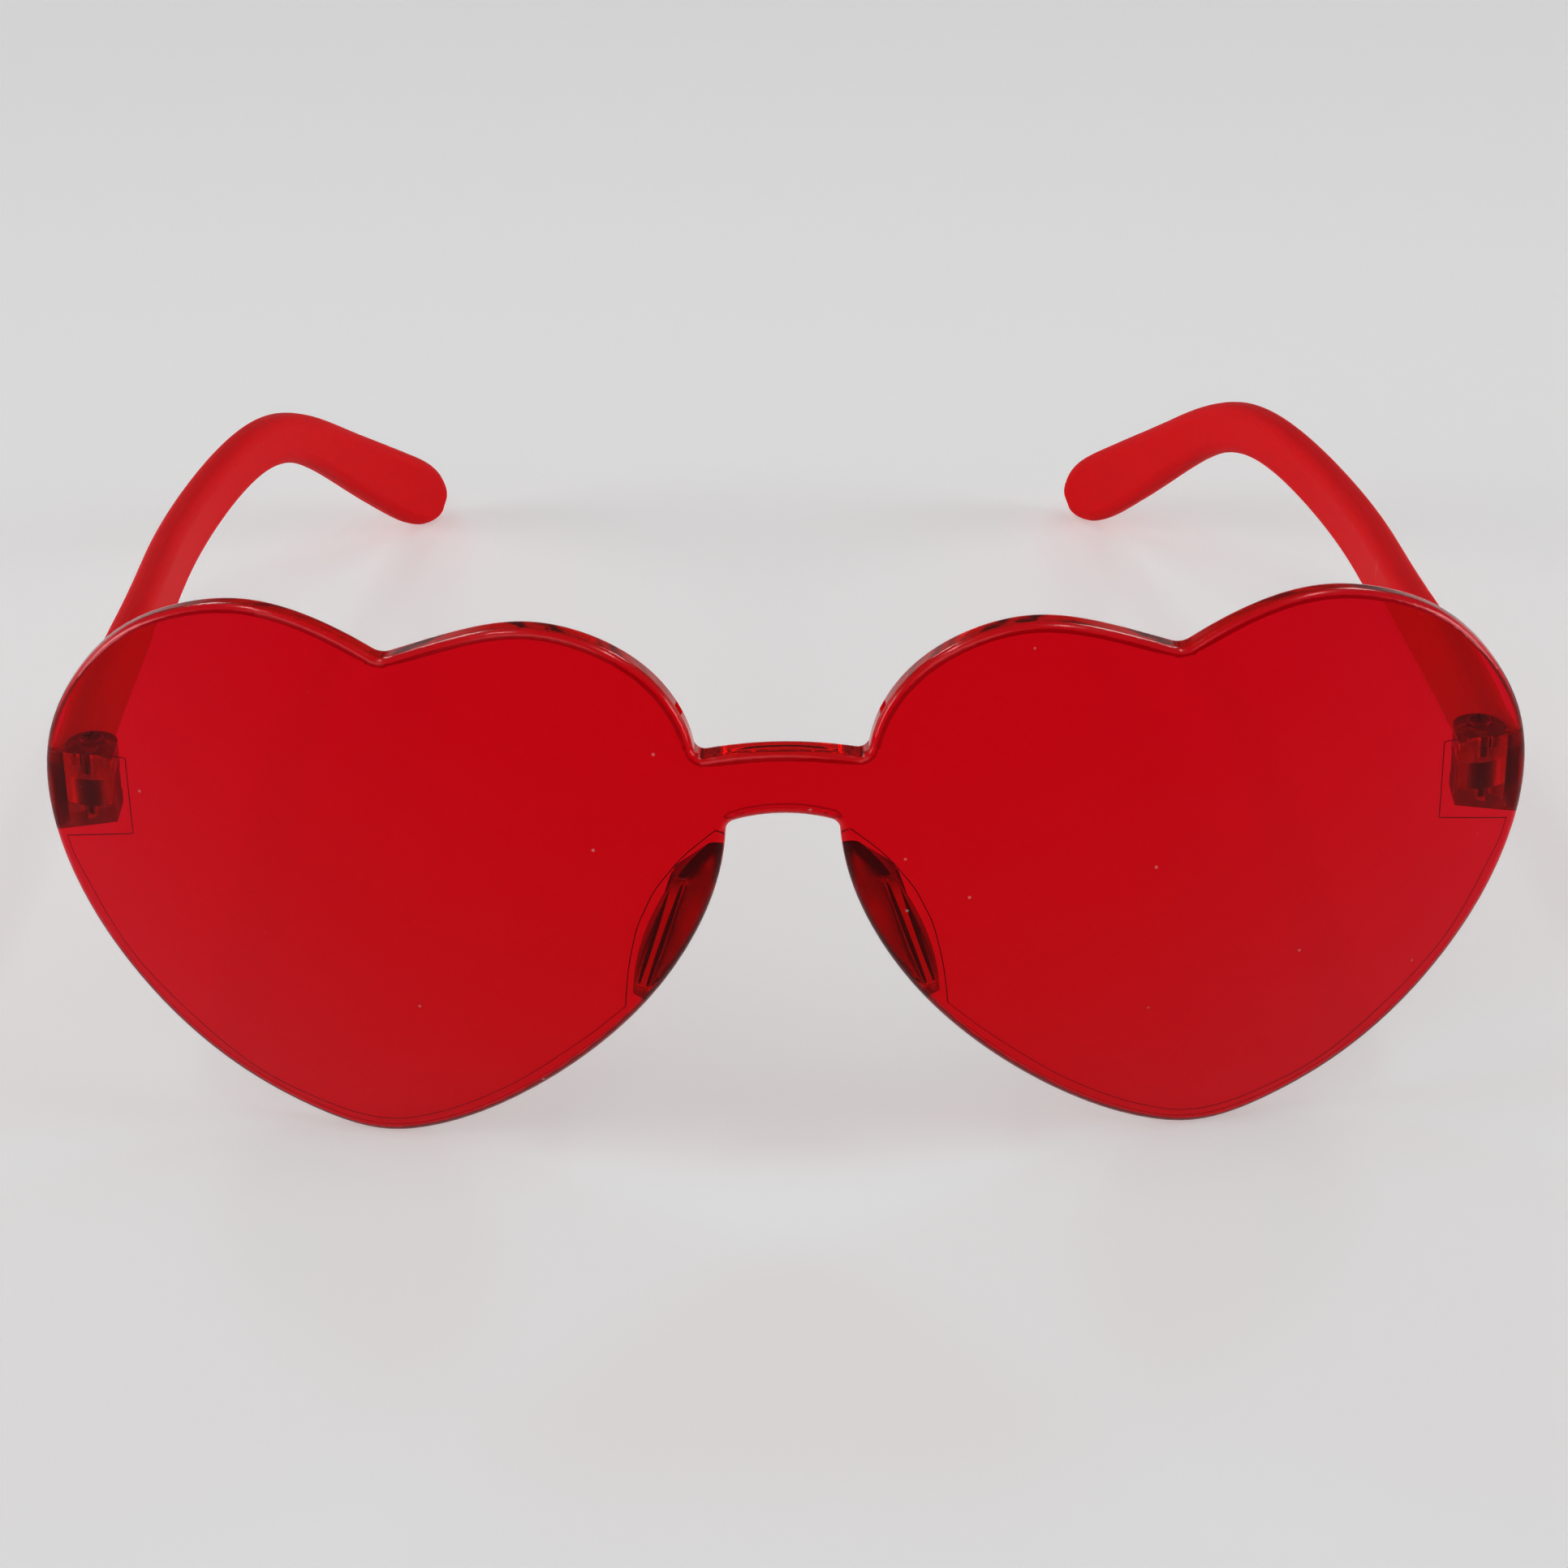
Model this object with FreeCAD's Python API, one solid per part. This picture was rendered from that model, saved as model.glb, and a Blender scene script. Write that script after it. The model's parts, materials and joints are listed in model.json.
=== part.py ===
import FreeCAD, Part
import math
import os

# Heart shaped sunglasses in millimetres: +Z up, the front faces -Y and the temples run to +Y.
# Left and right are the wearer's, so left is +X.
# Every piece is drawn with the origin at the foremost point of the face. At the end all of them
# are tipped back together until the glasses stand on the heart points and the temple tips.

# Front
front_width = 148.0
heart_height = 58.6
heart_point_drop = 33.0
face_radius = 180.0
middle_thickness = 3.0
side_thickness = 2.0
front_rim_radius = 0.95
back_rim_radius = 0.5
dip_radius = 2.2
notch_radius = 1.1
bridge_length = 16.5
bridge_top_level = 13.65
bridge_height = 6.65
bridge_top_rise = 0.9
nose_gap_width = 10.9
nose_arch_rise = 0.95
nose_corner_radius = 1.2

# Heart outline, from the notch beside the bridge to the dip, and from the dip round to the point,
# as shares of the heart's width (from the notch outwards) and height (from the point upwards)
inner_lobe_shares = [(0.019, 0.853), (0.066, 0.922), (0.142, 0.974), (0.240, 0.996), (0.349, 0.973)]
dip_shares = (0.459, 0.928)
outer_side_shares = [(0.533, 0.969), (0.658, 1.0), (0.764, 0.979), (0.856, 0.927), (0.939, 0.829),
                     (0.988, 0.717), (1.0, 0.614), (0.974, 0.454), (0.892, 0.277), (0.741, 0.104),
                     (0.623, 0.031), (0.510, 0.0)]
# Nose side, from the point up to the nose arch, as shares of the way across and up
nose_side_shares = [(0.813, 0.044), (0.598, 0.159), (0.389, 0.318), (0.233, 0.476), (0.103, 0.663),
                    (0.029, 0.832)]

# Nose pads: wedges that stand on the back face along the nose sides, each with a narrow ridge.
# The pad's nose side runs from its top along the next points of the outline, as many as counted here.
pad_edge_inset = 0.15
pad_ridge_width = 1.3
pad_ridge_radius = 0.3
pad_top_depth = 5.6
pad_foot_depth = 4.6
pad_root_depth = 1.2
pad_top_shares = (0.007, 0.935)
pad_edge_count = 3
pad_outer_shares = [(0.265, 0.491), (0.244, 0.623), (0.194, 0.746), (0.119, 0.858), (0.046, 0.930)]
pad_ridge_end_shares = [(0.134, 0.784), (0.240, 0.482)]

# Hinge lugs on the back face
hinge_inset = 4.9
hinge_setback = 3.3
hinge_level = 2.7
lug_top_level = 7.1
lug_top_tilt = 6.1
lug_bottom_level = -0.65
lug_bottom_tilt = 17.6
lug_width = 6.8
lug_rim_gap = 0.8
lug_corner_radius = 1.4
knuckle_radius = 2.6
knuckle_top_level = 6.9
stop_lead = 0.8
tongue_height = 2.8
tongue_radius = 2.45
tongue_gap = 0.06
running_gap = 0.25
stop_gap = 0.05

# Hinge screws
screw_diameter = 1.4
screw_head_diameter = 2.5
screw_head_height = 0.8
screw_head_round = 0.35
screw_end_inset = 0.4
screw_seat_fit = 0.02
screw_running_fit = 0.05
cross_slot_width = 0.36
cross_slot_length = 1.7
cross_slot_depth = 0.4

# Temples
temple_length = 146.0
temple_level = 2.5
temple_outset = 2.9
temple_thickness = 3.6
temple_root_height = 8.7
temple_bend_height = 6.3
temple_tip_height = 8.7
temple_corner_share = 0.8
temple_slope = 0.7
temple_toe_in = 0.9
curl_start = 55.5
curl_radius = 166.0
bend_place = 101.5
bend_spread = 17.3
tip_flare_start = 108.0
tip_flare_end = 140.0
droop = 34.2
tip_end_round = 7.0
tip_edge_round = 1.5
left_rest_swing = 4.5
temple_station_shares = [0.10, 0.22, 0.34, 0.45, 0.55, 0.63, 0.70, 0.77, 0.84, 0.90, 0.94]
tip_station_angles = [90.0, 66.0, 46.0, 29.0, 16.0, 8.0]

# Cuts run past what they cut by this much
overrun = 2.0
path_steps = 40
lean_rounds = 5

V = FreeCAD.Vector
half_width = front_width / 2
bridge_half = bridge_length / 2
nose_half = nose_gap_width / 2
bridge_corner_level = bridge_top_level - bridge_top_rise
nose_top_level = bridge_top_level - bridge_height
nose_corner_level = nose_top_level - nose_arch_rise
prism_depth = half_width / 2


def sphere_depth(radius, x, z):
    """Distance of a sphere's surface behind its foremost point, at a place on it."""
    return radius - math.sqrt(radius ** 2 - x ** 2 - z ** 2)


hinge_x = half_width - hinge_inset
side_sag = sphere_depth(face_radius, hinge_x, 0)
back_sag = side_sag + side_thickness - middle_thickness
back_radius = (hinge_x ** 2 + back_sag ** 2) / (2 * back_sag)
hinge_y = middle_thickness + back_sag + hinge_setback
stop_y = hinge_y - stop_lead
lug_height = lug_top_level - lug_bottom_level
tongue_top = hinge_level + tongue_height / 2
tongue_bottom = hinge_level - tongue_height / 2
slot_top = tongue_top + tongue_gap
slot_bottom = tongue_bottom - tongue_gap


def heart_point(shares):
    """Place on the left heart's outline."""
    across, up = shares
    return V(bridge_half + across * (half_width - bridge_half), 0, up * heart_height - heart_point_drop)


def nose_point(shares):
    """Place on the left nose side, between the heart's point and the nose arch."""
    across, up = shares
    point = heart_point(outer_side_shares[-1])
    x = nose_half + across * (point.x - nose_half)
    return V(x, 0, up * (nose_corner_level + heart_point_drop) - heart_point_drop)


def flip(point):
    return V(-point.x, point.y, point.z)


def spline(points):
    curve = Part.BSplineCurve()
    curve.interpolate(points)
    return curve.toShape()


def arc(start, middle, end):
    return Part.Arc(start, middle, end).toShape()


def line(start, end):
    return Part.LineSegment(start, end).toShape()


def solid_from(edges, travel):
    """Prism over a closed outline."""
    face = Part.Face(Part.Wire(Part.__sortEdges__(edges)))
    return face.extrude(travel)


def prism_over(corners, depth):
    """Prism along Y over a straight-sided outline."""
    return solid_from([line(p, q) for p, q in zip(corners, corners[1:] + corners[:1])], V(0, depth, 0))


def upright_cylinder(radius, bottom, top):
    """Cylinder on the left hinge's axis."""
    return Part.makeCylinder(radius, top - bottom, V(hinge_x, hinge_y, bottom))


def box_between(low, high):
    return Part.makeBox(high.x - low.x, high.y - low.y, high.z - low.z, low)


# Front outline: both hearts, the bridge and the nose gap as one prism along Y
def outline_prism():
    notch = V(bridge_half, 0, bridge_corner_level)
    dip = heart_point(dip_shares)
    nose_corner = V(nose_half, 0, nose_corner_level)
    lobe = [notch] + [heart_point(s) for s in inner_lobe_shares] + [dip]
    side = [dip] + [heart_point(s) for s in outer_side_shares]
    side += [nose_point(s) for s in nose_side_shares] + [nose_corner]
    edges = [arc(flip(notch), V(0, 0, bridge_top_level), notch)]
    edges += [spline(lobe), spline(side)]
    edges += [spline([flip(p) for p in lobe]), spline([flip(p) for p in side])]
    edges += [arc(flip(nose_corner), V(0, 0, nose_top_level), nose_corner)]
    prism = solid_from(edges, V(0, prism_depth, 0))
    for corner, radius in ((notch, notch_radius), (dip, dip_radius), (nose_corner, nose_corner_radius)):
        prism = prism.makeFillet(radius, corner_edges(prism, corner))
    return prism


def corner_edges(prism, corner):
    """Edges along Y that stand on an outline corner and on its mirror image."""
    found = []
    for edge in prism.Edges:
        middle = edge.CenterOfMass
        offset = math.hypot(abs(middle.x) - corner.x, middle.z - corner.z)
        if offset < back_rim_radius and edge.BoundBox.YLength > prism_depth / 2:
            found.append(edge)
    return found


def face_ball():
    return Part.makeSphere(face_radius, V(0, face_radius, 0))


def back_ball():
    return Part.makeSphere(back_radius, V(0, middle_thickness + back_radius, 0))


# Lens plate: the outline between the outside and the back curve, with a rounded rim
def lens_plate():
    plate = outline_prism().common(face_ball()).cut(back_ball())
    plate = plate.makeFillet(front_rim_radius, rim_edges(plate, face_radius))
    return plate.makeFillet(back_rim_radius, rim_edges(plate, back_radius))


def rim_edges(plate, radius):
    """Edges round a curved face of the given radius."""
    faces = [f for f in plate.Faces if isinstance(f.Surface, Part.Sphere)]
    curved = min(faces, key=lambda f: abs(f.Surface.Radius - radius))
    return curved.Edges


# Nose pad: stands on the back face and tapers straight to its ridge
def nose_pad():
    edge_shares = [pad_top_shares] + nose_side_shares[::-1][:pad_edge_count]
    edge = [nose_point(s) + V(pad_edge_inset, 0, 0) for s in edge_shares]
    outer = [nose_point(s) for s in pad_outer_shares]
    top_y, foot_y = [middle_thickness + sphere_depth(back_radius, p.x, p.z) for p in (edge[0], edge[-1])]
    slope = (foot_y - top_y) / (edge[0].z - edge[-1].z)
    edge = [p + V(0, top_y + slope * (edge[0].z - p.z), 0) for p in edge]
    outer = [p + V(0, top_y + slope * (edge[0].z - p.z), 0) for p in outer]
    foot = Part.Wire([spline(edge), line(edge[-1], outer[0]), spline(outer), line(outer[-1], edge[0])])
    root = foot.copy()
    root.translate(V(0, -pad_root_depth, 0))
    high, low = [nose_point(s) for s in pad_ridge_end_shares]
    across = V(high.z - low.z, 0, low.x - high.x).normalize() * (pad_ridge_width / 2)
    high = high + V(0, middle_thickness + pad_top_depth, 0)
    low = low + V(0, middle_thickness + pad_foot_depth, 0)
    corners = [high - across, low - across, low + across, high + across]
    ridge = Part.Wire([line(p, q) for p, q in zip(corners, corners[1:] + corners[:1])])
    pad = Part.makeLoft([root, foot, ridge], True, True)
    ridge_edges = [e for e in pad.Edges if e.BoundBox.YMin > low.y - pad_ridge_radius]
    return pad.makeFillet(pad_ridge_radius, ridge_edges)


# Hinge lug: a block on the back face, two knuckles, and room between them for the temple's tongue
def hinge_lug(ball):
    outer = half_width - lug_rim_gap
    inner = outer - lug_width
    corners = [V(inner, 0, lug_bottom_at(inner)), V(outer, 0, lug_bottom_at(outer)),
               V(outer, 0, lug_top_at(outer)), V(inner, 0, lug_top_at(inner))]
    block = prism_over(corners, stop_y)
    inner_edges = [e for e in block.Edges if e.BoundBox.YLength > stop_y / 2
                   and e.CenterOfMass.x < outer - lug_width / 2]
    block = block.makeFillet(lug_corner_radius, inner_edges)
    lower = knuckle(knuckle_radius, slot_bottom - lug_height, slot_bottom)
    upper = knuckle(knuckle_radius, slot_top, knuckle_top_level)
    near = inner - lug_width
    far = outer + lug_width
    below = [V(far, 0, lug_bottom_at(far)), V(near, 0, lug_bottom_at(near)),
             V(near, 0, slot_bottom - lug_height), V(far, 0, slot_bottom - lug_height)]
    lower = lower.cut(prism_over(below, hinge_y + lug_width))
    lug = block.cut(upright_cylinder(tongue_radius + running_gap, slot_bottom, slot_top))
    lug = lug.fuse([lower, upper]).common(ball)
    bore = upright_cylinder(screw_diameter / 2 + screw_seat_fit, -lug_height, lug_height + overrun)
    seat = upright_cylinder(screw_head_diameter / 2 + running_gap, knuckle_top_level, lug_height + overrun)
    return lug.cut([bore, seat])


def lug_top_at(x):
    return lug_top_level - math.tan(math.radians(lug_top_tilt)) * (x - hinge_x)


def lug_bottom_at(x):
    return lug_bottom_level - math.tan(math.radians(lug_bottom_tilt)) * (x - hinge_x)


def knuckle(radius, bottom, top):
    """Plate that runs back from the face and is rounded about the hinge axis."""
    plate = box_between(V(hinge_x - radius, 0, bottom), V(hinge_x + radius, hinge_y, top))
    return plate.fuse(upright_cylinder(radius, bottom, top))


def lens_front():
    ball = back_ball()
    lug = hinge_lug(ball)
    pad = nose_pad()
    pieces = [lug, mirrored(lug), pad, mirrored(pad)]
    return lens_plate().fuse(pieces).removeSplitter()


def mirrored(shape):
    return shape.mirror(V(0, 0, 0), V(1, 0, 0))


# Temple path: straight from the hinge, curling inwards, bending down over the ear
def smooth_step(value):
    value = min(max(value, 0.0), 1.0)
    return value * value * (3 - 2 * value)


def heading(place):
    return math.radians(temple_toe_in) + max(0.0, place - curl_start) / curl_radius


def pitch(place):
    turn = smooth_step((place - bend_place + bend_spread) / (2 * bend_spread))
    return -math.radians(temple_slope + (droop - temple_slope) * turn)


def temple_frames(places):
    """Centre, outward and upward direction of the temple at each place behind the hinge axis."""
    centre = V(hinge_x + temple_outset, hinge_y + places[0], temple_level)
    frames = []
    for before, place in zip(places[:1] + places, places):
        stride = (place - before) / path_steps
        for step in range(path_steps):
            centre = centre + along_path(before + (step + 0.5) * stride) * stride
        turn = heading(place)
        tilt = pitch(place)
        outward = V(math.cos(turn), math.sin(turn), 0)
        upward = V(math.sin(turn) * math.sin(tilt), -math.cos(turn) * math.sin(tilt), math.cos(tilt))
        frames.append((centre, outward, upward))
    return frames


def along_path(place):
    turn = heading(place)
    tilt = pitch(place)
    return V(-math.sin(turn) * math.cos(tilt), math.cos(turn) * math.cos(tilt), math.sin(tilt))


def temple_height(place):
    """Root height, narrowing to the ear bend and flaring again to the tip."""
    narrowing = smooth_step(place / bend_place)
    flare = smooth_step((place - tip_flare_start) / (tip_flare_end - tip_flare_start))
    height = temple_root_height + (temple_bend_height - temple_root_height) * narrowing
    return height + (temple_tip_height - temple_bend_height) * flare


def temple_sections():
    """Rounded rectangles along the path, closing in at the tip as quarter ellipses."""
    sizes = [(-stop_lead - overrun, 1.0, 1.0)]
    sizes += [(s * (temple_length - tip_end_round), 1.0, 1.0) for s in temple_station_shares]
    for angle in tip_station_angles:
        left = tip_end_round * (1 - math.cos(math.radians(angle)))
        edge = min(left / tip_edge_round, 1.0)
        sizes.append((temple_length - left, math.sin(math.radians(angle)), math.sqrt(edge * (2 - edge))))
    wires = []
    for (place, tall, thick), frame in zip(sizes, temple_frames([size[0] for size in sizes])):
        wires.append(rounded_section(frame, temple_thickness * thick / 2, temple_height(place) * tall / 2))
    return wires


def rounded_section(frame, half_thick, half_tall):
    centre, outward, upward = frame
    radius = temple_corner_share * min(half_thick, half_tall)
    edges = []
    corners = []
    for side, up in ((1, 1), (-1, 1), (-1, -1), (1, -1)):
        core = centre + outward * (side * (half_thick - radius)) + upward * (up * (half_tall - radius))
        on_side = core + outward * (side * radius)
        on_edge = core + upward * (up * radius)
        bulge = core + (outward * side + upward * up) * (radius * math.sqrt(0.5))
        corners.append((on_side, bulge, on_edge) if side == up else (on_edge, bulge, on_side))
    for here, after in zip(corners, corners[1:] + corners[:1]):
        edges.append(arc(*here))
        edges.append(line(here[2], after[0]))
    return Part.Wire(edges)


# Left temple: the swept arm, cut back for the lug's knuckles, with a tongue between them
def temple():
    arm = Part.makeLoft(temple_sections(), True, False)
    end_y = stop_y + stop_gap
    reach = hinge_x + front_width
    arm = arm.cut(box_between(V(0, 0, -reach), V(reach, end_y, reach)))
    room = knuckle_radius + running_gap
    arm = arm.cut(knuckle(room, tongue_top, tongue_top + lug_height))
    arm = arm.cut(knuckle(room, tongue_bottom - lug_height, tongue_bottom))
    tongue = upright_cylinder(tongue_radius, tongue_bottom, tongue_top)
    web = box_between(V(hinge_x, end_y, tongue_bottom),
                      V(hinge_x + temple_outset, hinge_y + tongue_radius, tongue_top))
    bore = upright_cylinder(screw_diameter / 2 + screw_running_fit, -lug_height, lug_height)
    return arm.fuse([tongue, web]).cut(bore).removeSplitter()


# Hinge screw: a rounded head on the upper knuckle, with a cross slot, and a plain shank
def hinge_screw():
    head_top = knuckle_top_level + screw_head_height
    head = upright_cylinder(screw_head_diameter / 2, knuckle_top_level, head_top)
    top_edge = [e for e in head.Edges if e.BoundBox.ZMin > head_top - screw_head_height / 2]
    head = head.makeFillet(screw_head_round, top_edge)
    shank = upright_cylinder(screw_diameter / 2, lug_bottom_level + screw_end_inset, knuckle_top_level)
    screw = head.fuse(shank).removeSplitter()
    floor = head_top - cross_slot_depth
    for turn in (0, 90):
        slot = Part.makeBox(cross_slot_length, cross_slot_width, screw_head_height,
                            V(-cross_slot_length / 2, -cross_slot_width / 2, 0))
        slot.rotate(V(0, 0, 0), V(0, 0, 1), turn)
        slot.translate(V(hinge_x, hinge_y, floor))
        screw = screw.cut(slot)
    return screw


def swung(shape, angle):
    """Turned inwards about the left hinge's axis."""
    turned = shape.copy()
    turned.rotate(V(hinge_x, hinge_y, 0), V(0, 0, 1), angle)
    return turned


# Stand the glasses up: tip them back about X until the hearts and the temple tips are level
def tipped(shape, lean):
    turned = shape.copy()
    turned.rotate(V(0, 0, 0), V(1, 0, 0), -lean)
    return turned


def box_of(shape):
    return shape.optimalBoundingBox(False, False)


def standing_lean(front, arm):
    lean = 0.0
    for _ in range(lean_rounds):
        gap = box_of(tipped(arm, lean)).ZMin - box_of(tipped(front, lean)).ZMin
        lean += math.degrees(math.atan2(gap, temple_length))
    return lean


left_arm = temple()
screw = hinge_screw()
pieces = {
    "lens_front": lens_front(),
    "left_temple": swung(left_arm, left_rest_swing),
    "right_temple": mirrored(left_arm),
    "left_hinge_screw": screw,
    "right_hinge_screw": mirrored(screw),
}
lean = standing_lean(pieces["lens_front"], pieces["right_temple"])
pieces = {name: tipped(shape, lean) for name, shape in pieces.items()}
whole = box_of(Part.makeCompound(list(pieces.values())))
to_origin = V(-whole.Center.x, -whole.Center.y, -whole.ZMin)
hinge_point = tipped(Part.Vertex(hinge_x, hinge_y, hinge_level), lean).Point + to_origin
print("lean", lean)
print("size", whole.XLength, whole.YLength, whole.ZLength)
print("left hinge axis through", hinge_point)

os.makedirs("parts", exist_ok=True)
for name, shape in pieces.items():
    shape.translate(to_origin)
    shape.exportStep("parts/" + name + ".step")
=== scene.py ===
"""Looks of the heart shaped sunglasses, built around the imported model."""
import json
import math

import bpy
import numpy as np
from mathutils import Matrix, Vector


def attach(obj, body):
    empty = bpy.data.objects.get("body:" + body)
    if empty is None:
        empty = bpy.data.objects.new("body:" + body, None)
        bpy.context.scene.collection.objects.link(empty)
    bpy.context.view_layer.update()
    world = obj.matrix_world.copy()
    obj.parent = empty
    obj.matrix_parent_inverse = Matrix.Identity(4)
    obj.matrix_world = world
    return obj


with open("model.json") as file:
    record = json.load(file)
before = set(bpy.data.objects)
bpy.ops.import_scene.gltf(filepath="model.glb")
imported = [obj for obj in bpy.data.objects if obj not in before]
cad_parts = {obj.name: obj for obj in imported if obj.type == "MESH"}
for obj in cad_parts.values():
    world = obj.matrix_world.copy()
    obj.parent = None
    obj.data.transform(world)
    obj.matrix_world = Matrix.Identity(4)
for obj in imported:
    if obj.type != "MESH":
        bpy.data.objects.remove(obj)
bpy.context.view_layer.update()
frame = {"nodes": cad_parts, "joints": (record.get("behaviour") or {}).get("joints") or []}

MM = 0.001

# Where the glasses stand: every shape below is worked out in the glasses' own axes, in millimetres,
# with the origin at the foremost point of the face, then tipped back and moved as the model is.
LEFT_FOLD = next(joint for joint in frame["joints"] if joint["name"] == "left_temple_fold")
HINGE = np.array([69.1, 19.092, 2.7])
HINGE_PLACE = np.array(LEFT_FOLD["pos_m"])
LEAN = math.atan2(LEFT_FOLD["axis"][1], LEFT_FOLD["axis"][2])
TIP_BACK = np.array([[1, 0, 0],
                     [0, math.cos(LEAN), math.sin(LEAN)],
                     [0, -math.sin(LEAN), math.cos(LEAN)]])
UP = TIP_BACK @ [0, 0, 1]

# The back face of the front is part of a ball
FRONT_THICKNESS = 3.0
BACK_RADIUS = 193.03
BACK_CENTRE = np.array([0, FRONT_THICKNESS + BACK_RADIUS, 0])


def placed(points):
    """Points of the glasses' axes, in millimetres, as points of the model, in metres."""
    return (points - HINGE) @ TIP_BACK.T * MM + HINGE_PLACE


# Camera, fitted to the photograph
VIEW_TARGET = np.array([0.198, 0, 10.5886])
VIEW_DISTANCE = 350.0
VIEW_ELEVATION = math.radians(27.0)
VIEW_AZIMUTH = math.radians(0.8196)
VIEW_ROLL = math.radians(-1.0813)
VIEW_LENS = 84.30
VIEW_NEAREST = 0.01
SENSOR = 36.0


def place_camera():
    """Looks at the target from in front and above, rolled by the photograph's small tilt."""
    level = np.array([math.cos(VIEW_AZIMUTH), math.sin(VIEW_AZIMUTH), 0])
    ahead = np.array([-math.sin(VIEW_AZIMUTH), math.cos(VIEW_AZIMUTH), 0])
    forward = ahead * math.cos(VIEW_ELEVATION) - np.array([0, 0, math.sin(VIEW_ELEVATION)])
    upright = np.cross(level, forward)
    right = level * math.cos(VIEW_ROLL) + upright * math.sin(VIEW_ROLL)
    up = -level * math.sin(VIEW_ROLL) + upright * math.cos(VIEW_ROLL)
    eye = placed(VIEW_TARGET - forward * VIEW_DISTANCE)
    axes = TIP_BACK @ np.column_stack([right, up, -forward])
    lens = bpy.data.cameras.new("camera")
    lens.lens = VIEW_LENS
    lens.sensor_width = SENSOR
    lens.clip_start = VIEW_NEAREST
    camera = bpy.data.objects.new("camera", lens)
    bpy.context.scene.collection.objects.link(camera)
    camera.matrix_world = Matrix.Translation(eye) @ Matrix(axes.tolist()).to_4x4()
    bpy.context.scene.camera = camera


# Lamps: name, place and target, length and width, all in metres, watts, and spread in degrees. Of a pair,
# the one to the right in the picture is given. The strips draw the bright line along the upper rim.
WIDE = 180
PAIRED_LAMPS = [("light", (1.10, -0.18, 0.22), (0, 0, 0.03), (0.60, 0.60), 0.58, 45),
                ("back_light", (0.42, 0.50, 0.58), (0, 0, 0.02), (0.16, 0.16), 0.40, WIDE),
                ("strip_light", (0.34, -0.08, 0.76), (0.04, -0.07, 0.05), (0.24, 0.06), 0.36, WIDE)]
FRONT_LAMP = ("front_light", (-0.25, -0.75, 0.55), (0, 0, 0.02), (0.70, 0.70), 1.0, WIDE)
BOUNCES = 64
CLEAR_BOUNCES = 16


def area_light(name, place, target, size, watts, spread):
    """Soft flat light at a place, facing a target."""
    lamp = bpy.data.lights.new(name, "AREA")
    lamp.shape = "RECTANGLE"
    lamp.size, lamp.size_y = size
    lamp.energy = watts
    lamp.spread = math.radians(spread)
    light = bpy.data.objects.new(name, lamp)
    bpy.context.scene.collection.objects.link(light)
    light.location = place
    light.rotation_mode = "QUATERNION"
    light.rotation_quaternion = (Vector(target) - light.location).to_track_quat("-Z", "Y")


def place_lamps():
    """All the lamps, and how often light may turn inside the plastic."""
    for name, place, target, *rest in PAIRED_LAMPS:
        for side, mirror in (("left_", Vector((-1, 1, 1))), ("right_", Vector((1, 1, 1)))):
            area_light(side + name, Vector(place) * mirror, Vector(target) * mirror, *rest)
    area_light(*FRONT_LAMP)
    paths = bpy.context.scene.cycles
    paths.max_bounces = BOUNCES
    paths.transmission_bounces = BOUNCES
    paths.glossy_bounces = BOUNCES
    paths.transparent_max_bounces = CLEAR_BOUNCES
    paths.caustics_reflective = False
    paths.caustics_refractive = False


def ramp(nodes, links, value, low, high):
    """0 at the low value, 1 at the high one, straight between them."""
    node = nodes.new("ShaderNodeMapRange")
    node.inputs["From Min"].default_value = low
    node.inputs["From Max"].default_value = high
    links.new(value, node.inputs["Value"])
    return node.outputs["Result"]


def span(nodes, links, value, low, high):
    """The low value at 0, the high one at 1."""
    node = nodes.new("ShaderNodeMapRange")
    node.inputs["To Min"].default_value = low
    node.inputs["To Max"].default_value = high
    links.new(value, node.inputs["Value"])
    return node.outputs["Result"]


def joined(nodes, links, operation, first, second):
    """Two values made one by a mathematical operation."""
    node = nodes.new("ShaderNodeMath")
    node.operation = operation
    links.new(first, node.inputs[0])
    links.new(second, node.inputs[1])
    return node.outputs["Value"]


def both(nodes, links, first, second):
    """A mask that is 1 where both masks are."""
    return joined(nodes, links, "MULTIPLY", first, second)


def larger(nodes, links, first, second):
    """The larger of two values."""
    return joined(nodes, links, "MAXIMUM", first, second)


def vectors(nodes, links, operation, first, second=None):
    """An operation on vectors. The second one, if the operation takes it, is a socket or a fixed vector."""
    node = nodes.new("ShaderNodeVectorMath")
    node.operation = operation
    links.new(first, node.inputs[0])
    if isinstance(second, bpy.types.NodeSocket):
        links.new(second, node.inputs[1])
    elif second is not None:
        node.inputs[1].default_value = second
    return node.outputs


def along(nodes, links, vector, direction):
    """How far a vector runs along a direction."""
    return vectors(nodes, links, "DOT_PRODUCT", vector, direction)["Value"]


def blended(nodes, links, mask, first, second):
    """The first colour where the mask is 0, the second where it is 1."""
    node = nodes.new("ShaderNodeMix")
    node.data_type = "RGBA"
    links.new(mask, node.inputs["Factor"])
    node.inputs["A"].default_value = first
    node.inputs["B"].default_value = second
    return node.outputs["Result"]


def tinted(nodes, links, colour, mask, shade):
    """A colour that turns to a shade where the mask is 1."""
    node = nodes.new("ShaderNodeMix")
    node.data_type = "RGBA"
    links.new(mask, node.inputs["Factor"])
    links.new(colour, node.inputs["A"])
    node.inputs["B"].default_value = shade
    return node.outputs["Result"]


def new_material(name):
    """An empty material, its nodes and its links."""
    material = bpy.data.materials.new(name)
    material.use_nodes = True
    material.node_tree.nodes.clear()
    return material, material.node_tree.nodes, material.node_tree.links


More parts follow.
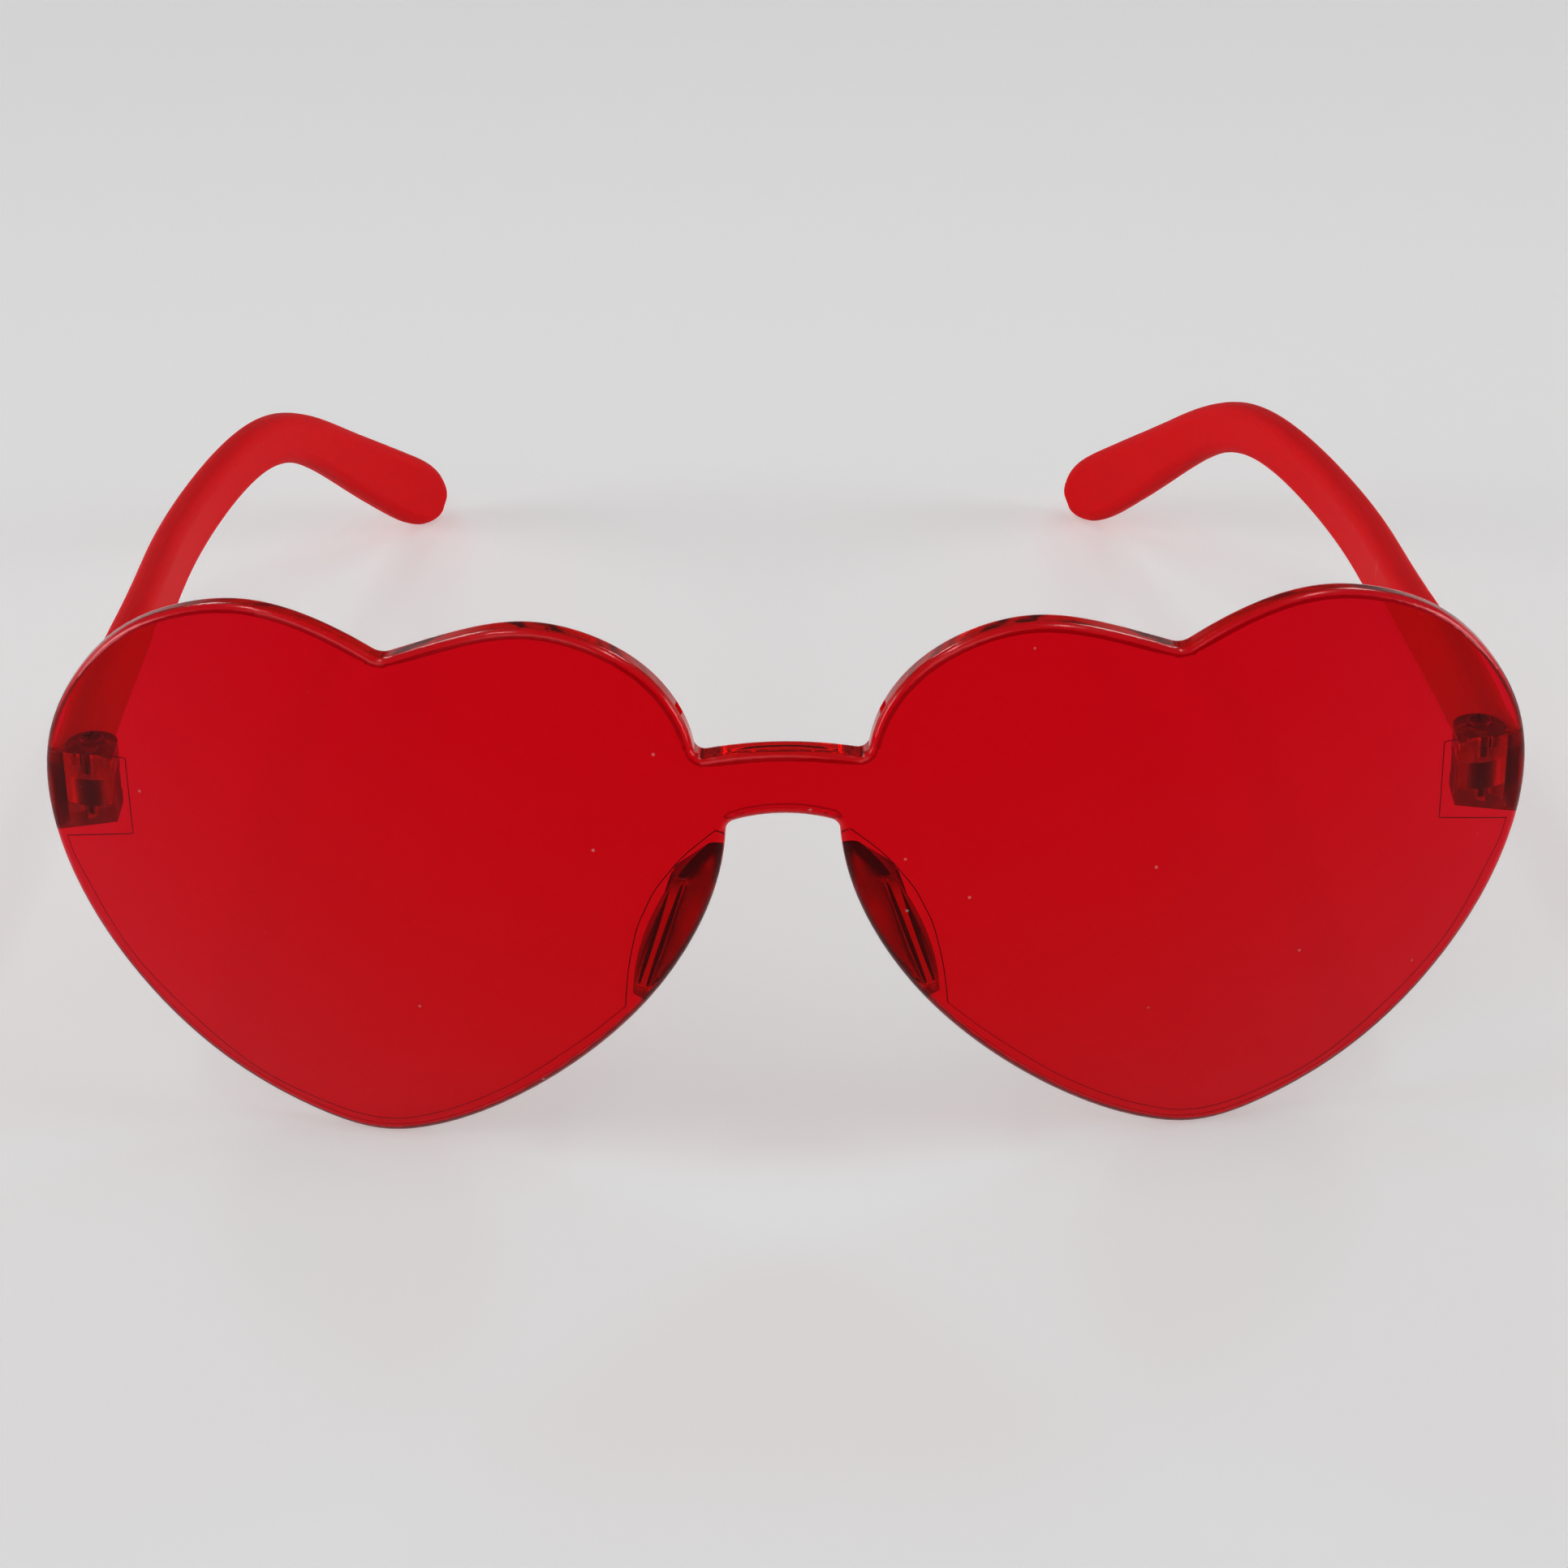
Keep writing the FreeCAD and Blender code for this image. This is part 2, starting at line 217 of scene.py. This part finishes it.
# Marks of use: specks as the near parts of a few cells, scuffs as drawn-out noise at three turns, and grain.
# Scales are per metre.
SPECK_CELLS = 330.0
SPECK_SIZE = (0.068, 0.03)
SPECK_FEW = (0.80, 0.82)
SCUFF_TURNS = (0.35, 1.25, 2.2)
SCUFF_DRAW = (3200, 300, 140)
SCUFF_FEW = (0.74, 0.80)
GRAIN_SCALE = 5200.0


def fine_wear():
    """Small marks of use: dust specks, short hair scuffs and a fine grain, each as a mask from 0 to 1."""
    tree = bpy.data.node_groups.new("fine_wear", "ShaderNodeTree")
    for name in ("Specks", "Scuffs", "Grain"):
        tree.interface.new_socket(name, in_out="OUTPUT", socket_type="NodeSocketFloat")
    nodes, links = tree.nodes, tree.links
    out = nodes.new("NodeGroupOutput")
    place = nodes.new("ShaderNodeTexCoord").outputs["Object"]

    cells = nodes.new("ShaderNodeTexVoronoi")
    cells.inputs["Scale"].default_value = SPECK_CELLS
    links.new(place, cells.inputs["Vector"])
    near = ramp(nodes, links, cells.outputs["Distance"], *SPECK_SIZE)
    pick = nodes.new("ShaderNodeSeparateColor")
    links.new(cells.outputs["Color"], pick.inputs["Color"])
    few = ramp(nodes, links, pick.outputs["Red"], *SPECK_FEW)
    links.new(both(nodes, links, near, few), out.inputs["Specks"])

    streaks = None
    for turn in SCUFF_TURNS:
        spin = nodes.new("ShaderNodeMapping")
        spin.inputs["Rotation"].default_value = (0, turn, 0)
        spin.inputs["Scale"].default_value = SCUFF_DRAW
        links.new(place, spin.inputs["Vector"])
        noise = nodes.new("ShaderNodeTexNoise")
        noise.inputs["Scale"].default_value = 1.0
        noise.inputs["Detail"].default_value = 1.0
        links.new(spin.outputs["Vector"], noise.inputs["Vector"])
        mask = ramp(nodes, links, noise.outputs["Fac"], *SCUFF_FEW)
        streaks = mask if streaks is None else larger(nodes, links, streaks, mask)
    links.new(streaks, out.inputs["Scuffs"])

    grain = nodes.new("ShaderNodeTexNoise")
    grain.inputs["Scale"].default_value = GRAIN_SCALE
    grain.inputs["Detail"].default_value = 3.0
    links.new(place, grain.inputs["Vector"])
    links.new(grain.outputs["Fac"], out.inputs["Grain"])
    return tree


WEAR = fine_wear()


def worn(nodes):
    """The marks of use, in a material."""
    node = nodes.new("ShaderNodeGroup")
    node.node_tree = WEAR
    return node.outputs


# Zones of the pieces, in millimetres: each pair runs from where a zone begins to where it is full
# The tongue, lug, pad, pad end and lower rim zones mark where painted shade is laid
TONGUE_REACH = (5.0, 3.2)
BEHIND_FACE = (0.10, 0.25)
LUG_FROM_MIDDLE = (50.0, 55.0)
LUG_BELOW = (5.4, 5.0)
PAD_FROM_MIDDLE = (25.0, 20.0)
PAD_END_ABOVE = (-4.6, -2.6)
LOWER_RIM_BELOW = (0.0, -2.0)

# Zones by the way a surface points: how squarely it faces as the lens face does, downwards or upwards
ROUND_LEAVES_FACE = (0.99, 0.96)
ROUND_MEETS_EDGE = (0.15, 0.35)
CREASE_LEAVES_FACE = (0.992, 0.98)
CREASE_ENDS = (0.88, 0.93)
FACING_DOWN = (0.12, 0.30)
FACING_UP = (0.40, 0.60)
CREASE_FACING_UP = (0.08, 0.16)


def tongue_shade_zone(nodes, links):
    """Mask of painted shade on a temple's tongue: places near a hinge, with both sides folded onto the left
    one.
    """
    place = nodes.new("ShaderNodeTexCoord").outputs["Object"]
    fold = vectors(nodes, links, "ABSOLUTE", place)["Vector"]
    forward = vectors(nodes, links, "MULTIPLY", fold, (1, -1, 1))["Vector"]
    apart = vectors(nodes, links, "DISTANCE", forward, HINGE_PLACE)["Value"]
    return ramp(nodes, links, apart, TONGUE_REACH[0] * MM, TONGUE_REACH[1] * MM)


def moulded_zones(nodes, links):
    """Masks of the front, by place and by the way a surface points: the lugs' matt walls, the pads, the
    pads' dark upper ends, the rounded front edge of the lower rim and of the upper rim, and the line where
    the upper one leaves the face. All but the upper rim carry painted shade in the base colour."""
    coords = nodes.new("ShaderNodeTexCoord")
    place, normal = coords.outputs["Object"], coords.outputs["Normal"]
    from_centre = vectors(nodes, links, "SUBTRACT", place, placed(BACK_CENTRE))["Vector"]
    depth = vectors(nodes, links, "LENGTH", from_centre)["Value"]
    behind = ramp(nodes, links, depth, *[(BACK_RADIUS - skin) * MM for skin in BEHIND_FACE])
    fold = vectors(nodes, links, "ABSOLUTE", place)["Vector"]
    from_middle = along(nodes, links, fold, (1, 0, 0))
    height = along(nodes, links, place, UP)

    def from_middle_zone(pair):
        return ramp(nodes, links, from_middle, *[side * MM for side in pair])

    def height_zone(pair):
        return ramp(nodes, links, height, *[float(placed(np.array([0, 0, level])) @ UP) for level in pair])

    lugs = both(nodes, links, behind, from_middle_zone(LUG_FROM_MIDDLE))
    lugs = both(nodes, links, lugs, height_zone(LUG_BELOW))
    pads = both(nodes, links, behind, from_middle_zone(PAD_FROM_MIDDLE))
    pad_end_shade_zone = both(nodes, links, pads, height_zone(PAD_END_ABOVE))

    outward = vectors(nodes, links, "NORMALIZE", from_centre)["Vector"]
    square = vectors(nodes, links, "DOT_PRODUCT", outward, normal)["Value"]
    upward = along(nodes, links, normal, UP)
    rounded = both(nodes, links, ramp(nodes, links, square, *ROUND_LEAVES_FACE),
                   ramp(nodes, links, square, *ROUND_MEETS_EDGE))
    under = both(nodes, links, ramp(nodes, links, along(nodes, links, normal, -UP), *FACING_DOWN),
                 height_zone(LOWER_RIM_BELOW))
    lower_rim_shade = both(nodes, links, rounded, under)
    upper_rim = both(nodes, links, rounded, ramp(nodes, links, upward, *FACING_UP))
    crease_shade = both(nodes, links, ramp(nodes, links, square, *CREASE_LEAVES_FACE),
                  ramp(nodes, links, square, *CREASE_ENDS))
    crease_shade = both(nodes, links, crease_shade, ramp(nodes, links, upward, *CREASE_FACING_UP))
    return lugs, pads, pad_end_shade_zone, lower_rim_shade, upper_rim, crease_shade


def passed_light(nodes, links, plastic, tint, out):
    """Lamps shine through the plastic, tinted, at each of its faces."""
    clear = nodes.new("ShaderNodeBsdfTransparent")
    clear.inputs["Color"].default_value = tint
    path = nodes.new("ShaderNodeLightPath")
    mix = nodes.new("ShaderNodeMixShader")
    links.new(path.outputs["Is Shadow Ray"], mix.inputs["Fac"])
    links.new(plastic.outputs["BSDF"], mix.inputs[1])
    links.new(clear.outputs["BSDF"], mix.inputs[2])
    links.new(mix.outputs["Shader"], out.inputs["Surface"])


def dye(nodes, links, colour, density, out):
    """The plastic takes up light along its way through it."""
    tint = nodes.new("ShaderNodeVolumeAbsorption")
    tint.inputs["Color"].default_value = colour
    tint.inputs["Density"].default_value = density
    links.new(tint.outputs["Volume"], out.inputs["Volume"])


# Polished plastic of the front, with painted shade on its lugs, pads, pad ends, lower rim edge and crease
LENS_RED = (0.70, 0.01, 0.045, 1)
SPECK_RED = (0.60, 0.06, 0.07, 1)
# Painted shade: the lugs' darker red stands for the shade seen in their clear plastic
LUG_PAINTED_SHADE = (0.17, 0.001, 0.012, 1)
# Painted shade: the pads' darker red stands for the shade seen in their clear plastic
PAD_PAINTED_SHADE = (0.32, 0.006, 0.012, 1)
# Painted shade: the pads' upper ends are near black where the clear plastic looks dark
PAD_END_PAINTED_SHADE = (0.02, 0.0, 0.002, 1)
# Painted shade: the lower rim's rounded front edge is dark, as a dark band along the bottom
LOWER_RIM_PAINTED_SHADE = (0.05, 0.0, 0.004, 1)
# Painted shade: a dark line where the upper rim's rounding leaves the lens face
CREASE_PAINTED_SHADE = (0.22, 0.002, 0.01, 1)
LENS_POLISH = (0.015, 0.16)
LUG_MATT = 0.42
PAD_MATT = 0.30
SPECK_SHINE = 0.9
RIM_SHINE = 0.26
LENS_GLINT = (0.45, 0.05, 0.06, 1)
LENS_PASSES = (0.80, 0.20, 0.26, 1)
LENS_DYE = (0.9986, 0.0, 0.54, 1)
LENS_DYE_DENSITY = 1600.0


def tinted_lens():
    """Polished clear plastic, dyed red through, with specks and hair scuffs on its faces. The lugs and pads
    are matt, with painted shade that makes them darker than the lenses; the pads' upper ends, the lower
    rim's rounded edge and the crease under the upper rim carry painted shade too, and the upper rim's
    rounded edge shines."""
    material, nodes, links = new_material("tinted_lens")
    out = nodes.new("ShaderNodeOutputMaterial")
    wear = worn(nodes)
    lugs, pads, pad_end_shade_zone, lower_rim_shade, upper_rim, crease_shade = moulded_zones(nodes, links)
    plastic = nodes.new("ShaderNodeBsdfPrincipled")
    colour = blended(nodes, links, wear["Specks"], LENS_RED, SPECK_RED)
    # Painted shade: darker reds where the clear plastic looks dark, on the lugs, pads, pad ends, lower rim
    # edge and crease
    for mask, shade in ((lugs, LUG_PAINTED_SHADE), (pads, PAD_PAINTED_SHADE), (pad_end_shade_zone, PAD_END_PAINTED_SHADE),
                        (lower_rim_shade, LOWER_RIM_PAINTED_SHADE), (crease_shade, CREASE_PAINTED_SHADE)):
        colour = tinted(nodes, links, colour, mask, shade)
    links.new(colour, plastic.inputs["Base Color"])
    marks = span(nodes, links, larger(nodes, links, wear["Specks"], wear["Scuffs"]), *LENS_POLISH)
    matt = larger(nodes, links, span(nodes, links, lugs, 0, LUG_MATT), span(nodes, links, pads, 0, PAD_MATT))
    links.new(larger(nodes, links, marks, matt), plastic.inputs["Roughness"])
    shine = larger(nodes, links, span(nodes, links, wear["Specks"], 0, SPECK_SHINE),
                   span(nodes, links, upper_rim, 0, RIM_SHINE))
    links.new(shine, plastic.inputs["Coat Weight"])
    plastic.inputs["Coat Roughness"].default_value = 0.2
    plastic.inputs["Coat IOR"].default_value = 2.4
    plastic.inputs["IOR"].default_value = 1.58
    plastic.inputs["Specular Tint"].default_value = LENS_GLINT
    plastic.inputs["Transmission Weight"].default_value = 1.0
    passed_light(nodes, links, plastic, LENS_PASSES, out)
    dye(nodes, links, LENS_DYE, LENS_DYE_DENSITY, out)
    return material


# Frosted plastic of the temples
TEMPLE_REDS = [(0.90, 0.006, 0.010, 1), (0.97, 0.014, 0.020, 1)]
# Painted shade: the tongue by the hinge is darkened, as it lies in shade behind the lens
TONGUE_PAINTED_SHADE = (0.24, 0.003, 0.007, 1)
TEMPLE_MATT = (0.58, 0.42)
TEMPLE_GLINT = (0.6, 0.2, 0.2, 1)
TEMPLE_PASSES = (0.55, 0.05, 0.06, 1)
TEMPLE_DYE = (0.97, 0.2, 0.3, 1)
TEMPLE_DYE_DENSITY = 1000.0


def frosted_temple():
    """Frosted plastic that lets light through: a fine matt grain, with a few rubbed streaks, and painted
    shade darkening the tongue by the hinge.
    """
    material, nodes, links = new_material("frosted_temple")
    out = nodes.new("ShaderNodeOutputMaterial")
    wear = worn(nodes)
    plastic = nodes.new("ShaderNodeBsdfPrincipled")
    colour = blended(nodes, links, wear["Grain"], *TEMPLE_REDS)
    # Painted shade on the tongue near the hinge
    colour = tinted(nodes, links, colour, tongue_shade_zone(nodes, links), TONGUE_PAINTED_SHADE)
    links.new(colour, plastic.inputs["Base Color"])
    links.new(span(nodes, links, wear["Scuffs"], *TEMPLE_MATT), plastic.inputs["Roughness"])
    plastic.inputs["IOR"].default_value = 1.28
    plastic.inputs["Specular IOR Level"].default_value = 0.08
    plastic.inputs["Specular Tint"].default_value = TEMPLE_GLINT
    plastic.inputs["Transmission Weight"].default_value = 0.22
    plastic.inputs["Subsurface Weight"].default_value = 0.8
    plastic.inputs["Subsurface Radius"].default_value = (1.0, 0.12, 0.10)
    plastic.inputs["Subsurface Scale"].default_value = 0.0025
    dent = nodes.new("ShaderNodeBump")
    dent.inputs["Strength"].default_value = 0.12
    dent.inputs["Distance"].default_value = 0.0001
    links.new(wear["Grain"], dent.inputs["Height"])
    links.new(dent.outputs["Normal"], plastic.inputs["Normal"])
    passed_light(nodes, links, plastic, TEMPLE_PASSES, out)
    dye(nodes, links, TEMPLE_DYE, TEMPLE_DYE_DENSITY, out)
    return material


# Steel of the screws
STEEL_GREYS = [(0.08, 0.075, 0.07, 1), (0.34, 0.33, 0.32, 1)]
STEEL_POLISH = (0.25, 0.5)


def screw_steel():
    """Plated steel with turning marks, dulled in places."""
    material, nodes, links = new_material("screw_steel")
    out = nodes.new("ShaderNodeOutputMaterial")
    wear = worn(nodes)
    metal = nodes.new("ShaderNodeBsdfPrincipled")
    links.new(blended(nodes, links, wear["Grain"], *STEEL_GREYS), metal.inputs["Base Color"])
    links.new(span(nodes, links, wear["Grain"], *STEEL_POLISH), metal.inputs["Roughness"])
    metal.inputs["Metallic"].default_value = 1.0
    links.new(metal.outputs["BSDF"], out.inputs["Surface"])
    return material


# Painted shade of the mould-line steps and of the pads' dark places in the front's plastic
# The mould lines are real; their dark colour is painted shade for how a step in clear plastic looks
MOULD_LINE_PAINTED_SHADES = [(0.09, 0.0, 0.004, 1), (0.20, 0.004, 0.008, 1)]
# Painted shade: the dark pieces inside the pads stand where the pads look dark
PAD_PIECE_PAINTED_SHADES = [(0.02, 0.0, 0.002, 1), (0.07, 0.002, 0.004, 1)]


def painted_shade_step(name, darker, lighter):
    """Painted shade: an opaque dark red for the dark look of a step or a shaded place in clear red plastic,
    uneven along its way.
    """
    material, nodes, links = new_material(name)
    out = nodes.new("ShaderNodeOutputMaterial")
    wear = worn(nodes)
    plastic = nodes.new("ShaderNodeBsdfPrincipled")
    links.new(blended(nodes, links, wear["Grain"], darker, lighter), plastic.inputs["Base Color"])
    plastic.inputs["Roughness"].default_value = 0.4
    links.new(plastic.outputs["BSDF"], out.inputs["Surface"])
    return material


# Glow of the floor as it is seen, near the glasses, where the lamps reach it, and far from them, and of the
# surround at the level of the floor and higher up
FLOOR_HALF = 2.0
FLOOR_DROP = 0.0002
CARD_GREYS = [(0.79, 0.79, 0.79, 1), (0.81, 0.81, 0.81, 1)]
FIBRE_SCALE = 900.0
NEAR_SHADE = 0.33
FAR_SHADE = 0.58
NEAR_TO_FAR = (0.30, 1.60)
SURROUND_SHADE = 0.72
UPPER_SHADE = 0.08
UPPER_TO_LEVEL = (0.30, 0.12)
WHITE = (1, 1, 1, 1)


def pale_floor():
    """Pale card with a hardly visible fibre."""
    material, nodes, links = new_material("pale_floor")
    out = nodes.new("ShaderNodeOutputMaterial")
    place = nodes.new("ShaderNodeTexCoord").outputs["Object"]
    fibre = nodes.new("ShaderNodeTexNoise")
    fibre.inputs["Scale"].default_value = FIBRE_SCALE
    links.new(place, fibre.inputs["Vector"])
    card = nodes.new("ShaderNodeBsdfPrincipled")
    links.new(blended(nodes, links, fibre.outputs["Fac"], *CARD_GREYS), card.inputs["Base Color"])
    card.inputs["Roughness"].default_value = 0.8
    card.inputs["Specular IOR Level"].default_value = 0.1
    path = nodes.new("ShaderNodeLightPath").outputs
    seen = larger(nodes, links, path["Is Camera Ray"], path["Is Glossy Ray"])
    seen = larger(nodes, links, seen, path["Is Transmission Ray"])
    far = ramp(nodes, links, vectors(nodes, links, "LENGTH", place)["Value"], *NEAR_TO_FAR)
    glow = both(nodes, links, seen, span(nodes, links, far, NEAR_SHADE, FAR_SHADE))
    card.inputs["Emission Color"].default_value = WHITE
    links.new(glow, card.inputs["Emission Strength"])
    links.new(card.outputs["BSDF"], out.inputs["Surface"])
    return material


def studio():
    """A pale surround near the level of the floor, dim higher up."""
    world = bpy.data.worlds.new("studio")
    world.use_nodes = True
    nodes, links = world.node_tree.nodes, world.node_tree.links
    direction = nodes.new("ShaderNodeTexCoord").outputs["Generated"]
    near_level = ramp(nodes, links, along(nodes, links, direction, (0, 0, 1)), *UPPER_TO_LEVEL)
    shade = span(nodes, links, near_level, UPPER_SHADE, SURROUND_SHADE)
    nodes["Background"].inputs["Color"].default_value = WHITE
    links.new(shade, nodes["Background"].inputs["Strength"])
    bpy.context.scene.world = world


def floor():
    """A flat square of card under the glasses."""
    mesh = bpy.data.meshes.new("floor")
    corners = [(-FLOOR_HALF, -FLOOR_HALF, 0), (FLOOR_HALF, -FLOOR_HALF, 0),
               (FLOOR_HALF, FLOOR_HALF, 0), (-FLOOR_HALF, FLOOR_HALF, 0)]
    mesh.from_pydata(corners, [], [(0, 1, 2, 3)])
    mesh.materials.append(pale_floor())
    obj = bpy.data.objects.new("floor", mesh)
    obj.location.z = -FLOOR_DROP
    bpy.context.scene.collection.objects.link(obj)


# Mould lines on the back face: round each nose pad, and round each hinge lug and on down the side.
# Corners are given across and up, for the left side.
# The beads are real mould lines; their dark colour is painted shade
LINE_HALF_WIDTH = 0.055
RIM_LINE_HALF_WIDTH = 0.035
LINE_HALF_HEIGHT = 0.05
LINE_AROUND = 8
PAD_LINE = [(6.45, 4.64), (8.21, 3.15), (9.81, 1.64), (11.44, -0.42), (12.68, -2.23), (13.53, -4.06),
            (14.31, -5.91), (14.86, -8.05), (15.36, -10.59), (15.71, -13.46), (15.87, -15.39)]
LUG_LINE = [(66.35, 7.42), (65.0, 7.39), (64.96, -0.88), (72.26, -2.48)]
RIM_LINE = [(72.26, -2.48), (71.0, -6.3), (65.85, -16.15), (56.25, -25.95), (48.85, -30.05), (41.8, -31.8),
            (35.5, -30.2), (27.85, -25.8), (20.45, -19.75), (15.87, -15.39)]
PAD_LINE_STEPS = 10
LUG_LINE_STEPS = 12
RIM_LINE_STEPS = 16


def back_point(x, z):
    """Places on the back face, with the direction that points out of it."""
    y = BACK_CENTRE[1] - np.sqrt(BACK_RADIUS ** 2 - x ** 2 - z ** 2)
    points = np.column_stack([x, y, z])
    outward = BACK_CENTRE - points
    return points, outward / np.linalg.norm(outward, axis=1)[:, None]


def smooth_path(corners, steps):
    """A curve through the corners: each piece is a cubic that leaves and meets its corners along
    the line between their neighbours."""
    knots = np.array(corners, float)
    knots = np.vstack([2 * knots[0] - knots[1], knots, 2 * knots[-1] - knots[-2]])
    t = np.linspace(0, 1, steps, endpoint=False)[None, :, None]
    a, b, c, d = [knots[i:len(knots) - 3 + i][:, None, :] for i in range(4)]
    pieces = 0.5 * (2 * b + (c - a) * t + (2 * a - 5 * b + 4 * c - d) * t ** 2
                    + (3 * b - a - 3 * c + d) * t ** 3)
    return np.vstack([pieces.reshape(-1, 2), knots[-2:-1]])


def straight_path(corners, steps):
    """Straight lines from corner to corner."""
    knots = np.array(corners, float)
    t = np.linspace(0, 1, steps, endpoint=False)[None, :, None]
    pieces = knots[:-1, None, :] * (1 - t) + knots[1:, None, :] * t
    return np.vstack([pieces.reshape(-1, 2), knots[-1:]])


def swept(name, centres, wide, thick, around, side, material):
    """A closed tube that rides on the front: at each centre an ellipse with the half axes wide and thick,
    joined ring to ring, with a flat cap at each end, facing outwards. Side is -1 where it is mirrored."""
    turn = np.linspace(0, 2 * math.pi, around, endpoint=False)[None, :, None]
    rings = centres[:, None, :] + np.cos(turn) * wide[:, None, :] + np.sin(turn) * thick[:, None, :]
    points = placed(rings.reshape(-1, 3) * [side, 1, 1])
    length = len(centres)
    grids = np.meshgrid(np.arange(length - 1), np.arange(around), indexing="ij")
    row, step = [grid.ravel() for grid in grids]
    after = (step + 1) % around
    quads = (np.column_stack([row, row, row + 1, row + 1]) * around
             + np.column_stack([step, after, after, step]))
    caps = [np.arange(around)[::-1], (length - 1) * around + np.arange(around)]
    corners = points[quads] - points.mean(axis=0)
    facing = np.cross(corners[:, 2] - corners[:, 0], corners[:, 3] - corners[:, 1])
    mesh = bpy.data.meshes.new(name)
    mesh.from_pydata(points.tolist(), [], quads.tolist() + [cap.tolist() for cap in caps])
    if (corners.mean(axis=1) * facing).sum() < 0:
        mesh.flip_normals()
    mesh.shade_smooth()
    mesh.materials.append(material)
    piece = bpy.data.objects.new(name, mesh)
    bpy.context.scene.collection.objects.link(piece)
    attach(piece, "front")


def back_bead(name, path, half_width, side, material):
    """A fine bead along a path on the back face: an ellipse, half of it in the face, turned square to
    the path."""
    points, outward = back_point(path[:, 0], path[:, 1])
    aside = np.cross(np.gradient(points, axis=0), outward)
    aside /= np.linalg.norm(aside, axis=1)[:, None]
    swept(name, points, half_width * aside, LINE_HALF_HEIGHT * outward, LINE_AROUND, side, material)


# Painted shade: dark pieces just under a pad's faces, where the clear pad looks dark. The ridge runs from
# its high to its low end, and the sloped top end of the pad from its root on the lens to the ridge. Shares
# are of the way along.
PAD_RIDGE = np.array([(10.32, 8.6, -2.39), (14.17, 7.6, -14.18)])
PAD_RIDGE_HALF = 0.65
PAD_TOP = np.array([(5.85, 3.12, 3.51), (7.12, 3.15, 3.32)])
SHADE_AROUND = 16
END_SHARES = np.linspace(0.04, 0.93, 24)[:, None]
END_DEPTH = 0.09
END_WIDE_SHARE = 0.45
END_HALF_THICK = 0.03
RIDGE_SHARES = np.linspace(0.03, 0.97, 40)[:, None]
RIDGE_LINE_APART = (0.58, 0.42)
RIDGE_LINE_DEPTH = 0.42
RIDGE_LINE_HALF = (0.23, 0.10)
RIDGE_LINE_TAPER = 0.35


def pad_shades(side_name, side, material):
    """Painted shade inside a pad: a flat dark ellipse swept from the lens to the ridge under the sloped top
    end, and a thin dark ellipse swept along each side of the ridge, that tapers to both ends."""
    high, low = PAD_RIDGE
    across = np.array([high[2] - low[2], 0, low[0] - high[0]])
    across = across / np.linalg.norm(across)
    left = PAD_TOP[0] * (1 - END_SHARES) + (high - across * PAD_RIDGE_HALF) * END_SHARES
    right = PAD_TOP[1] * (1 - END_SHARES) + (high + across * PAD_RIDGE_HALF) * END_SHARES
    outward = np.cross(right - left, high - PAD_TOP.mean(axis=0))
    outward *= np.sign(outward[:, 2:]) / np.linalg.norm(outward, axis=1)[:, None]
    swept(side_name + "_pad_end_painted_shade", (left + right) / 2 - END_DEPTH * outward, (right - left) * END_WIDE_SHARE,
          END_HALF_THICK * outward, SHADE_AROUND, side, material)

    lift = np.cross(low - high, across)
    lift *= np.sign(lift[1]) / np.linalg.norm(lift)
    taper = np.sin(math.pi * RIDGE_SHARES) ** RIDGE_LINE_TAPER
    ridge = high * (1 - RIDGE_SHARES) + low * RIDGE_SHARES
    apart = RIDGE_LINE_APART[0] * (1 - RIDGE_SHARES) + RIDGE_LINE_APART[1] * RIDGE_SHARES
    for name, place in (("_pad_ridge_inside_shade", -1), ("_pad_ridge_outside_shade", 1)):
        path = ridge + across * place * apart - lift * RIDGE_LINE_DEPTH
        swept(side_name + name, path, across * RIDGE_LINE_HALF[0] * taper, lift * RIDGE_LINE_HALF[1] * taper,
              SHADE_AROUND, side, material)


def front_details():
    """The mould lines, coloured dark as painted shade, and the pads' dark pieces of painted shade, on both
    sides.
    """
    line = painted_shade_step("mould_line", *MOULD_LINE_PAINTED_SHADES)
    shade = painted_shade_step("pad_shade", *PAD_PIECE_PAINTED_SHADES)
    pad = smooth_path(PAD_LINE, PAD_LINE_STEPS)
    lug = straight_path(LUG_LINE, LUG_LINE_STEPS)
    rim = smooth_path(RIM_LINE, RIM_LINE_STEPS)
    for side_name, side in (("left", 1), ("right", -1)):
        back_bead(side_name + "_pad_mould_line", pad, LINE_HALF_WIDTH, side, line)
        back_bead(side_name + "_lug_mould_line", lug, LINE_HALF_WIDTH, side, line)
        back_bead(side_name + "_rim_mould_line", rim, RIM_LINE_HALF_WIDTH, side, line)
        pad_shades(side_name, side, shade)


def finish_model():
    """Each piece of the model gets its finish."""
    lens, temple, steel = tinted_lens(), frosted_temple(), screw_steel()
    finishes = {"lens_front": lens, "left_temple": temple, "right_temple": temple,
                "left_hinge_screw": steel, "right_hinge_screw": steel}
    for name, node in frame["nodes"].items():
        node.material_slots[0].material = finishes[name]


place_camera()
floor()
front_details()
studio()
place_lamps()
finish_model()

bpy.context.scene.view_settings.view_transform = "Standard"
